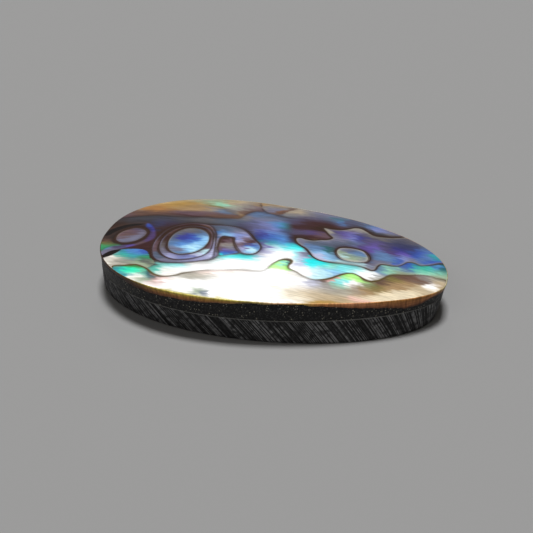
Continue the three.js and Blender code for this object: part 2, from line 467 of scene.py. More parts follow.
FIELD = [  # the ground that the terraces lie on
    # slate band over the eyes
    ("soot", -17.4, 2.2, 1.2, 0.8), ("graphite", -18.3, 3.2, 1.2, 0.6),
    ("graphite", -16, 3.9, 1.6, 0.5), ("navy", -13.6, 3, 1.2, 0.9), ("graphite", -12, 4, 1.6, 0.5),
    ("smoke", -9.3, 4.6, 1.6, 0.4), ("slate", -7, 4.9, 1.2, 0.5), ("slate", -5.2, 5.2, 1, 0.5),
    ("maroon", -12.6, 2.4, 0.8, 0.7), ("umber", -19, 1.2, 0.6, 1.6), ("soot", -19.2, -0.6, 0.6, 0.8),
    ("umber", -13.2, 1.2, 0.5, 0.7), ("dusk", -3.6, 4.6, 1, 0.8),
    # left rim and the dark middle between the eyes
    ("cocoa", -19.1, -2.2, 0.35, 0.35), ("olive", -19, -2.8, 0.35, 0.3),
    ("green", -18.8, -3.4, 0.4, 0.35), ("maroon", -13.9, -2.7, 0.7, 0.6),
    ("maroon", -13.3, -3.7, 0.6, 0.7), ("umber", -12.7, -4.6, 0.5, 0.6),
    # middle of the face, blue
    ("steel", -3.1, 7.4, 0.9, 0.5), ("haze", -4.4, 6.7, 0.7, 0.5), ("ash", -5.2, 6.2, 0.5, 0.5),
    ("haze", -2.3, 6.6, 0.9, 0.5), ("slate", -1.5, 7.7, 1, 0.5), ("periwinkle", -2.2, 5, 1.1, 0.7),
    ("steel", -0.9, 6.1, 0.6, 0.35), ("azure", -0.4, 5.4, 0.7, 0.5), ("teal", 0.6, 5.3, 0.5, 0.6),
    ("deep_teal", 1.1, 4.9, 0.3, 0.5), ("navy", 0.6, 4.1, 0.6, 0.4),
    ("periwinkle", -0.9, 3.6, 0.9, 0.6), ("indigo", -1.7, 3, 0.4, 0.6), ("steel", 0.1, 3.3, 0.7, 0.3),
    ("azure", 0.3, 2.4, 0.9, 0.7), ("cobalt", -0.7, 2.5, 0.6, 0.7), ("azure", 1.3, 1.6, 0.6, 0.6),
    ("teal", -0.1, 1, 0.7, 0.5), ("navy", 1.9, 2.6, 0.4, 0.5), ("cyan", 2.5, 0.6, 0.7, 0.45),
    ("cyan", 1.7, 0.35, 0.5, 0.3), ("ice", 0.6, 0.1, 0.8, 0.4), ("white", 1.9, -0.7, 0.9, 0.8),
    ("white", 1.6, -1.9, 1.2, 0.6), ("violet", -0.9, 0.2, 0.25, 0.8),
    ("lavender", -0.5, -0.9, 0.5, 0.8), ("lavender", -0.7, -2.1, 0.5, 0.5),
    ("white", 0.5, -2.3, 0.8, 0.8), ("aqua", 3.2, -0.9, 0.3, 0.7), ("lavender", 3.8, -1.4, 0.4, 0.9),
    ("haze", 4.2, -0.6, 0.35, 0.5), ("cyan", 5.3, -2.1, 0.7, 0.6), ("cyan", 6.4, -1.8, 0.6, 0.35),
    ("lavender", 3.7, -2.7, 0.4, 0.5), ("white", 4.5, -3.5, 0.9, 0.5), ("ice", 6.6, -3.3, 0.6, 0.7),
    ("mint", 7.3, -2.2, 0.5, 0.4), ("aqua", 8.5, -2.2, 0.8, 0.5), ("aqua", 9.9, -2.1, 0.7, 0.4),
    ("sky", 7.9, -3.2, 0.6, 0.5), ("white", 11.3, -2.7, 0.9, 0.55), ("steel", 13, -1.9, 0.5, 0.6),
    ("mint", 13.9, -1.2, 0.6, 0.5), ("stone", 12.9, -2.8, 0.4, 0.5),
    # above the lower seam: pale nacre, its whites partly a painted highlight of the lamp's glare
    ("white", -2.5, -3.9, 2.5, 0.8), ("white", -5, -4.9, 2, 0.7), ("white", -8.5, -7, 1.4, 0.7),
    ("aqua", -9.8, -6.1, 0.8, 0.35), ("cyan", -4.3, -3.3, 1.1, 0.35, 20),
    ("cyan", -2.4, -2.7, 1, 0.35), ("sea", -11.3, -7, 0.5, 0.5), ("smoke", -12.3, -6.2, 0.6, 0.4),
    ("pearl", -9.8, -7.2, 0.6, 0.6),
    # right end between the coast and the brown field
    ("cobalt", 15.7, 0.2, 0.5, 0.6), ("steel", 14.8, -0.3, 0.5, 0.4), ("teal", 16.5, 0.4, 0.5, 0.5),
    ("sea", 17.6, 0.5, 0.7, 0.6), ("azure", 18.6, 1.2, 0.4, 0.5), ("deep_teal", 19.4, 0.9, 0.4, 0.6),
    ("mint", 17.2, -0.4, 0.7, 0.4), ("mint", 19, 0, 0.6, 0.4), ("sage", 15.4, -1.1, 0.8, 0.4),
    ("sage", 19.7, -0.6, 0.4, 0.5),
]

FAR = [  # the tan field at the back left
    ("sand", -7.4, 10.5, 1.2, 0.5), ("sage", -9.2, 10.4, 0.9, 0.4), ("sage", -10.4, 9.6, 0.8, 0.4),
    ("mint", -8.3, 9.3, 1, 0.3, -20), ("stone", -6.9, 8.8, 0.7, 0.4),
    ("olive", -8.8, 8.6, 0.8, 0.25, -15), ("tan", -11.2, 8.5, 0.9, 0.6), ("gold", -12.9, 9, 1.2, 0.7),
    ("gold", -14.4, 8, 1.3, 0.6), ("amber", -15.9, 7, 1.1, 0.6), ("amber", -17.2, 6.6, 0.8, 0.4),
    ("cocoa", -17.6, 5, 0.8, 0.6), ("mauve", -18.7, 4.2, 0.7, 0.6), ("cocoa", -19, 5.4, 0.6, 0.6),
    ("tan", -12.6, 7.4, 1.2, 0.5), ("tan", -10.5, 7.4, 0.8, 0.4), ("ash", -9.2, 7.7, 0.7, 0.6),
    ("steel", -7.9, 7.3, 0.6, 0.35), ("sand", -14.8, 9.2, 1.6, 0.4, 20),
    ("sand", -17.2, 7.4, 1.4, 0.4, 40), ("stone", -11.5, 10.1, 1.4, 0.35, 15),
    ("cocoa", -16.3, 5.2, 0.9, 0.3), ("cocoa", -14.6, 5.4, 1, 0.35), ("mauve", -12.2, 6.1, 1.2, 0.4),
    ("maroon", -12, 5.3, 1.6, 0.3), ("mauve", -10.1, 6.1, 0.9, 0.4), ("cocoa", -8.4, 5.9, 0.9, 0.35),
    ("mauve", -8.6, 6.6, 1, 0.3), ("cocoa", -6.5, 6.5, 0.9, 0.4), ("tan", -5.6, 7, 0.4, 0.5),
    ("smoke", -6.8, 7.6, 0.8, 0.4), ("ash", -5.9, 8.6, 0.9, 0.5), ("mauve", -4.7, 8.9, 0.6, 0.6),
    ("cocoa", -5, 8, 0.4, 0.5), ("ash", -5.4, 10.2, 0.8, 0.8), ("tan", -3.6, 10.8, 1.2, 0.4),
    ("smoke", -12.6, 5, 1.2, 0.2),
]

BACK = [  # behind the upper right growth line
    ("ash", 1.3, 9.2, 0.9, 0.8), ("sand", 0.5, 9.8, 0.5, 0.6), ("ash", 1.2, 10.8, 1, 0.5),
    ("haze", 3.8, 9.9, 1.2, 0.6), ("dusk", 2.8, 8.3, 1, 0.6), ("slate", 4.4, 8.8, 0.8, 0.6),
    ("steel", 6.1, 8.7, 0.7, 0.6, -30), ("azure", 6.3, 8.3, 0.3, 0.4),
    ("deep_teal", 5.9, 9.4, 0.5, 0.4), ("dusk", 4.6, 7.6, 1.2, 0.4), ("mauve", 5.6, 7.1, 1.4, 0.3),
    ("dusk", 7.6, 8.6, 0.7, 0.8), ("graphite", 8, 7.7, 0.6, 0.4), ("slate", 8.3, 9.3, 0.8, 0.5),
    ("periwinkle", 10.9, 8.3, 0.9, 0.5, -20), ("steel", 9.7, 8.7, 0.5, 0.4),
    ("haze", 12.2, 7.9, 0.7, 0.4), ("graphite", 9.6, 7.7, 0.7, 0.3, -40),
    ("graphite", 11.2, 6.9, 0.9, 0.25), ("smoke", 13.2, 7.4, 0.8, 0.3), ("haze", 5.6, 10.2, 0.8, 0.5),
    ("slate", 0, 8, 1.2, 0.4), ("ash", -0.2, 8.8, 0.5, 0.5),
]

MAROON = [  # the dark bay left of the island
    ("maroon", 2.6, 6.4, 1, 0.6), ("dusk", 1.3, 6.9, 0.8, 0.5), ("umber", 3.7, 5.9, 0.8, 0.4),
    ("umber", 4.5, 6.15, 0.3, 0.25), ("plum", 3.5, 4.7, 0.7, 0.35), ("dusk", 2.5, 4.5, 0.7, 0.5),
    ("mauve", 5.2, 4.2, 0.6, 0.4), ("maroon", 3.9, 3.4, 1.2, 0.35), ("olive", 4.5, 2.95, 0.4, 0.2),
    ("umber", 2.6, 3.2, 0.5, 0.4), ("maroon", 1.9, 5.6, 0.6, 0.5),
]

ISLAND = [  # the blue field with a jagged coast, at the right
    ("stone", 5.2, 5.6, 0.4, 0.4), ("haze", 6.2, 4.6, 0.4, 0.5), ("dusk", 6.6, 5.7, 0.9, 0.5),
    ("violet", 7.6, 5.4, 0.7, 0.6), ("periwinkle", 8.6, 4.7, 0.5, 0.9, 20),
    ("indigo", 9.3, 5.2, 0.4, 0.7), ("haze", 7, 4.2, 0.6, 0.5), ("ash", 8.4, 6.9, 0.9, 0.35),
    ("smoke", 10, 6.3, 0.6, 0.35), ("smoke", 11.1, 5.9, 1, 0.3), ("smoke", 12.6, 6.1, 1.2, 0.35),
    ("dusk", 10.3, 4.4, 0.5, 0.8), ("haze", 6.6, 3.5, 0.6, 0.4), ("slate", 8.4, 3.6, 0.7, 0.4),
    ("violet", 10.7, 3.3, 0.5, 0.7), ("violet", 11.4, 3.1, 0.5, 0.7, -20),
    ("steel", 12, 2.1, 0.5, 0.6), ("steel", 11.7, 1, 0.3, 0.5), ("steel", 13.3, 1.2, 0.8, 0.5),
    ("haze", 12.9, 0.2, 0.6, 0.25), ("cobalt", 14.5, 1.1, 0.4, 0.5),
    ("periwinkle", 15, 1.9, 0.5, 0.4), ("plum", 13.4, 2.6, 0.7, 0.4, -30),
    ("indigo", 14, 3.7, 0.7, 0.5), ("dusk", 12.5, 3.9, 0.7, 0.6), ("navy", 13.6, 4.9, 0.8, 0.5),
    ("violet", 14.6, 3, 0.5, 0.3, -20), ("navy", 15.4, 4.7, 0.6, 0.8),
    ("cobalt", 16.4, 3.8, 0.6, 0.8, -20), ("steel", 17.2, 3, 0.5, 0.6, -20),
    ("steel", 17, 4.8, 0.5, 0.5), ("teal", 18.1, 3.5, 0.4, 0.5), ("cobalt", 18, 2.3, 0.5, 0.3),
    ("haze", 16, 2, 0.5, 0.25), ("smoke", 15.2, 6.4, 0.9, 0.5), ("slate", 16.6, 5.6, 0.6, 0.4),
    ("navy", 14, 6, 0.9, 0.4), ("haze", 3.1, 2.1, 0.5, 0.3), ("steel", 4, 1.2, 0.4, 0.3),
    ("slate", 4.4, 2.4, 0.7, 0.3), ("slate", 5.7, 2.2, 0.6, 0.4), ("haze", 5.5, 2.9, 0.6, 0.25),
    ("steel", 4.9, 1, 0.5, 0.4), ("deep_teal", 6.2, 1.4, 0.4, 0.3), ("deep_teal", 6.8, 0.9, 0.3, 0.3),
    ("sky", 5.6, 0.3, 0.6, 0.3), ("lavender", 5.5, -0.4, 0.5, 0.3, -40), ("sky", 6.8, 0, 0.5, 0.3),
    ("sky", 7.2, -0.6, 0.5, 0.25), ("ice", 8.6, -1, 0.9, 0.2), ("ice", 10.2, -1, 0.7, 0.2),
    ("haze", 11.4, -0.9, 0.4, 0.3), ("haze", 11.9, -0.9, 0.3, 0.4), ("slate", 7, 2.9, 0.6, 0.3),
]

ISLAND_EYE = [  # the pale oval in it
    ("slate", 9.3, 1.9, 0.8, 0.3), ("steel", 9.3, 1.1, 0.7, 0.4), ("haze", 8.2, 1.6, 0.5, 0.4),
    ("steel", 10.3, 1.4, 0.4, 0.4), ("sage", 9.5, 0.4, 0.9, 0.3), ("ice", 8.2, 0.2, 0.4, 0.3),
    ("sage", 7.7, 0.9, 0.3, 0.4), ("haze", 10.5, 0.1, 0.5, 0.25), ("sage", 8.9, 0.7, 0.4, 0.2),
    ("sage", 9.3, -0.3, 1, 0.15),
]

LOW = [  # below the lower seam
    # green lens at the left
    ("teal", -15.4, -8.1, 0.5, 0.4), ("jade", -14.3, -7.7, 0.6, 0.4), ("jade", -13.6, -7.7, 0.5, 0.4),
    ("leaf", -14, -7.05, 0.9, 0.15), ("deep_teal", -11.9, -8.5, 0.6, 0.4, -40),
    ("graphite", -11.2, -8.75, 0.6, 0.25, -20), ("mint", -12.9, -8, 0.3, 0.5, 50),
    ("pearl", -13.4, -9, 0.7, 0.35), ("teal", -14.8, -8.7, 0.6, 0.25),
    ("rose", -10.7, -9, 0.6, 0.5), ("stone", -17, -7, 0.5, 0.5), ("sage", -12.1, -9.3, 0.7, 0.25),
    # pale pearl, partly the nacre's own colour and partly a painted highlight of the lamp's burnt-out
    # glare
    ("white", -8.5, -9.3, 1.5, 0.8), ("white", -4, -8.8, 2, 0.8), ("white", 0, -7.5, 3, 1.2),
    ("white", 4, -6.6, 1.8, 0.7), ("blush", -4.6, -6.5, 1.5, 0.25, 15),
    ("stone", -6.3, -7.6, 1.4, 0.45), ("stone", -7.4, -7.9, 0.6, 0.3),
    ("blush", -2.4, -8.8, 0.8, 0.2, -25), ("pearl", -2.6, -7.4, 1.2, 0.5),
    ("slate", -4.9, -10.25, 0.35, 0.22), ("sage", -5.6, -10.1, 0.5, 0.25),
    ("straw", -9.5, -11.3, 1.6, 0.25), ("straw", -5.8, -11.6, 1.6, 0.25),
    ("straw", -2, -11.5, 1.2, 0.22), ("blush", -9.3, -8.7, 0.8, 0.2), ("lime", 1.3, -3.9, 0.4, 0.3),
    ("lime", 1.5, -3.2, 0.4, 0.4), ("aqua", 2, -3.1, 0.35, 0.3), ("lime", 2.4, -3.8, 0.4, 0.2),
    ("smoke", 2.45, -2.35, 0.35, 0.25), ("umber", 2.75, -2.7, 0.2, 0.35),
    ("lavender", 6.1, -6, 0.5, 0.5), ("white", 0.8, -5.6, 1, 0.6), ("pearl", 3.6, -5.2, 0.7, 0.4),
    ("pearl", 1.5, -9.6, 2, 0.4), ("cream", 1.8, -7.9, 0.8, 0.3, 15),
    ("blush", -0.6, -6.6, 1, 0.25, 15),
    # green and salmon spots, and the brown field at the right
    ("rose", 8, -4.95, 0.35, 0.3), ("cocoa", 7.2, -5.2, 0.35, 0.25),
    ("lime", 9.6, -3.8, 0.5, 0.25, 20), ("lime", 11, -3.95, 0.6, 0.25, -15),
    ("aqua", 9.2, -5, 0.35, 0.4), ("white", 10.3, -5.1, 0.6, 0.5), ("mint", 9, -5.8, 0.5, 0.3),
    ("ash", 7.6, -6.2, 1.1, 0.6), ("sand", 6.3, -7.6, 1.2, 0.6), ("cream", 4.6, -8.2, 1, 0.6),
    ("stone", 9.4, -6.8, 0.9, 0.5), ("sand", 8.4, -8, 1.2, 0.4), ("sage", 12, -4.7, 0.5, 0.4),
    ("tan", 11.6, -6, 0.9, 0.5), ("ash", 11, -5.9, 0.4, 0.4), ("olive", 12.8, -4.9, 0.7, 0.5),
    ("olive", 14.3, -2.7, 0.8, 0.5), ("cocoa", 13.2, -3.8, 0.6, 0.4), ("cocoa", 16.2, -2.2, 1.2, 0.4),
    ("tan", 15.9, -3.4, 0.8, 0.5, 20), ("tan", 14.6, -4.6, 0.9, 0.4, 20),
    ("sand", 17.6, -3.9, 0.6, 0.5), ("cream", 16.4, -5, 1.2, 0.35, 30),
    ("cream", 14.6, -6.1, 1.3, 0.35, 25), ("cream", 12.6, -7.1, 0.9, 0.4, 20),
    ("rose", 11.9, -7.7, 0.7, 0.35), ("sand", 10.6, -8.3, 0.9, 0.3), ("white", 18.7, -2.9, 0.35, 0.4),
    ("ash", 18, -1.8, 0.6, 0.4), ("sand", 19.4, -2.1, 0.5, 0.4), ("stone", 19.3, -1.4, 0.5, 0.3),
    ("gold", 8.8, -9, 1.4, 0.25, 15),
]

POOL = [  # the teal pool at the left tip
    ("teal", -16.2, -4.4, 0.5, 0.4), ("azure", -15.2, -4.2, 0.6, 0.4), ("azure", -14.5, -4.1, 0.5, 0.4),
    ("cobalt", -13.8, -4, 0.4, 0.35), ("teal", -14.7, -5, 0.7, 0.4),
    ("green", -13.4, -5.1, 0.4, 0.4), ("sea", -15.9, -5.1, 0.6, 0.35), ("stone", -16.5, -6, 0.6, 0.4),
    ("ash", -15.3, -6.2, 0.8, 0.4), ("sage", -13.3, -6.1, 0.7, 0.4), ("pearl", -17.3, -6.5, 0.6, 0.8),
    ("stone", -16.6, -7, 0.5, 0.3), ("graphite", -12.9, -5.8, 0.6, 0.25, -30),
    ("sage", -14.6, -6.5, 0.6, 0.2),
]

CRESCENT = [  # the violet band round the left eye
    ("cobalt", -15.4, 2, 0.3, 0.5), ("indigo", -14.9, 1.1, 0.35, 0.5), ("plum", -14.4, 0.1, 0.4, 0.6),
    ("plum", -14, -0.9, 0.4, 0.5), ("violet", -14.6, 0.6, 0.15, 0.5),
    ("mauve", -14.8, -2.2, 0.5, 0.3), ("violet", -16, -2.95, 0.6, 0.25),
    ("dusk", -17.2, -3.5, 0.5, 0.3), ("haze", -17.9, -4.2, 0.4, 0.4), ("haze", -18.4, -4.9, 0.3, 0.4),
    ("azure", -18.7, -3.7, 0.4, 0.3),
]

LEFT_EYE = [  # the small mauve oval at the left tip
    ("mauve", -17.3, 0.3, 0.7, 0.6), ("cocoa", -17.3, -0.4, 0.4, 0.5), ("dusk", -16.4, 0.8, 0.6, 0.4),
    ("mauve", -16.6, 0, 0.7, 0.5), ("haze", -15.6, 0.3, 0.35, 0.5), ("haze", -15.7, -0.9, 0.35, 0.5),
    ("haze", -16.5, -1, 0.5, 0.4), ("haze", -17, -1.7, 0.6, 0.3), ("mauve", -17.8, -0.9, 0.3, 0.5),
]

RING_3 = [  # the outer ring of the big eye
    ("haze", -10.6, -5.3, 1.2, 0.3), ("lilac", -8.4, -5, 0.8, 0.3), ("lilac", -7, -4.5, 0.8, 0.3),
    ("lavender", -5.9, -3.4, 0.4, 0.5), ("slate", -12.3, -4.7, 0.5, 0.4),
    ("mauve", -13.1, -2.2, 0.3, 0.8), ("umber", -13.1, -0.3, 0.3, 0.8), ("umber", -12.6, 1.5, 0.5, 0.5),
    ("maroon", -10.8, 3.1, 0.9, 0.3), ("cocoa", -8.2, 2.9, 0.4, 0.3), ("lilac", -6.4, -1.2, 0.3, 1),
    ("ash", -6.5, 0.3, 0.3, 0.6), ("haze", -6.9, 1.6, 0.3, 0.4),
]

RING_2 = [  # its inner ring
    ("umber", -10.2, 2.75, 1.2, 0.25), ("cocoa", -7.3, 0.5, 0.3, 0.9), ("mauve", -7.3, -1.2, 0.3, 0.7),
    ("ice", -7.1, -3, 0.3, 0.4), ("lavender", -7.7, -3.6, 0.4, 0.3),
    ("periwinkle", -8.9, -4.3, 0.7, 0.3), ("lilac", -10.4, -4.3, 0.8, 0.25),
    ("haze", -11.7, -3.6, 0.4, 0.4), ("smoke", -12.2, -2.2, 0.3, 0.7), ("umber", -12.2, -0.4, 0.3, 0.8),
    ("cocoa", -11.9, 0.9, 0.3, 0.5),
]

RING_1 = [  # and its blue middle
    ("smoke", -10.4, 1.8, 0.9, 0.4), ("slate", -9.1, 1.4, 0.6, 0.4), ("indigo", -10.2, -0.1, 0.6, 0.6),
    ("cobalt", -9.6, 0, 0.5, 0.5), ("azure", -9, -0.3, 0.4, 0.7), ("steel", -8.5, 1, 0.3, 0.5),
    ("sky", -8.1, -0.3, 0.4, 0.6), ("ice", -8.8, -1.9, 0.5, 0.4), ("sky", -8.1, -1.6, 0.3, 0.5),
    ("azure", -10, -1.5, 0.6, 0.4), ("sky", -9.6, -2.4, 0.5, 0.4), ("steel", -11, -1.6, 0.5, 0.5),
    ("haze", -10.6, -2.6, 0.5, 0.4), ("slate", -11.4, 0.2, 0.4, 0.7), ("steel", -9.7, -3.4, 0.8, 0.2),
    ("smoke", -11.2, 1.2, 0.4, 0.4),
]

HOOK = [  # the hook to the right of the big eye
    ("slate", -7.4, 2.8, 0.5, 0.3), ("azure", -6.8, 1.9, 0.35, 0.45), ("steel", -7, 1.2, 0.25, 0.4),
    ("slate", -6, 3, 0.7, 0.3), ("steel", -5.9, 2.2, 0.5, 0.35), ("sky", -5.4, 1.6, 0.6, 0.25),
    ("haze", -4.5, 2.7, 0.7, 0.35), ("periwinkle", -4.3, 1.7, 0.5, 0.4),
    ("lilac", -3.4, 2.1, 0.5, 0.3, -40), ("mauve", -3, 0.7, 0.4, 0.5, 40),
    ("maroon", -2.5, 0.7, 0.35, 0.35), ("haze", -2.4, 1.4, 0.35, 0.2, -50),
    ("lilac", -3.7, 0.5, 0.3, 0.4), ("mauve", -3.3, -0.3, 0.4, 0.3), ("lilac", -3.2, -1.1, 0.4, 0.4),
    ("cobalt", -2.3, -0.3, 0.3, 0.25), ("azure", -1.6, -0.4, 0.2, 0.4), ("ice", -2.1, -1.1, 0.4, 0.35),
    ("sky", -2.5, -1.7, 0.4, 0.25), ("plum", -2.8, -0.9, 0.2, 0.3), ("lilac", -6.35, 0.2, 0.2, 0.7),
    ("ash", -6.3, -1, 0.2, 0.6), ("lilac", -6.1, -2.3, 0.2, 0.6), ("haze", -1.6, 0.2, 0.2, 0.4),
]

NOTCH = [  # the notch inside the hook
    ("maroon", -5.75, 0.3, 0.2, 0.5), ("mauve", -5.3, 0.2, 0.3, 0.4), ("ash", -5.2, -0.9, 0.35, 0.35),
    ("haze", -4.8, -1.5, 0.4, 0.3), ("violet", -4.9, -2, 0.4, 0.25),
    ("cobalt", -4.5, -2.3, 0.4, 0.25), ("cyan", -5, -3, 0.5, 0.25), ("azure", -3.7, -2.3, 0.4, 0.2),
    ("mauve", -5.5, -1.7, 0.2, 0.4),
]

CUP = [  # the brown cup on the far edge
    ("haze", -2, 9.7, 0.45, 0.5), ("haze", -2.3, 9.1, 0.4, 0.35), ("ash", -2.6, 10.3, 0.4, 0.5),
    ("cocoa", -1.1, 9, 0.35, 0.4), ("rust", -0.9, 9.5, 0.15, 0.3), ("cocoa", -2, 8.6, 0.7, 0.2),
    ("ash", -1.2, 10.6, 0.5, 0.5), ("tan", -2.6, 11, 0.8, 0.3), ("cocoa", -0.6, 10.2, 0.3, 0.4),
]

INK = [("ink", 0, 0, 1, 1)]  # plain black

FAR_COAST = [  # the growth line between the island and the ground behind it
    (6.6, 6.55), (7.4, 7), (8.1, 7.6), (8.8, 7.7), (9.6, 7.2), (10.2, 6.65), (10.8, 6.35), (11.6, 6.4),
    (12.6, 6.6), (13.4, 6.95), (14.6, 7.5),
]


def terrace(drops, outline, soft=0.06, line=None, rim=None, shade=None):
    """One layer of the pattern, filled with drops and laid over the layers before it.

    Its outline is closed and smoothed, and its edge fades in over soft mm. The growth line on the
    edge is (half width, colour, strength). The rim inside the edge and the shade outside it are
    (colour, reach, strength).
    """
    return dict(drops=drops, outline=outline, soft=soft, line=line, rim=rim, shade=shade)


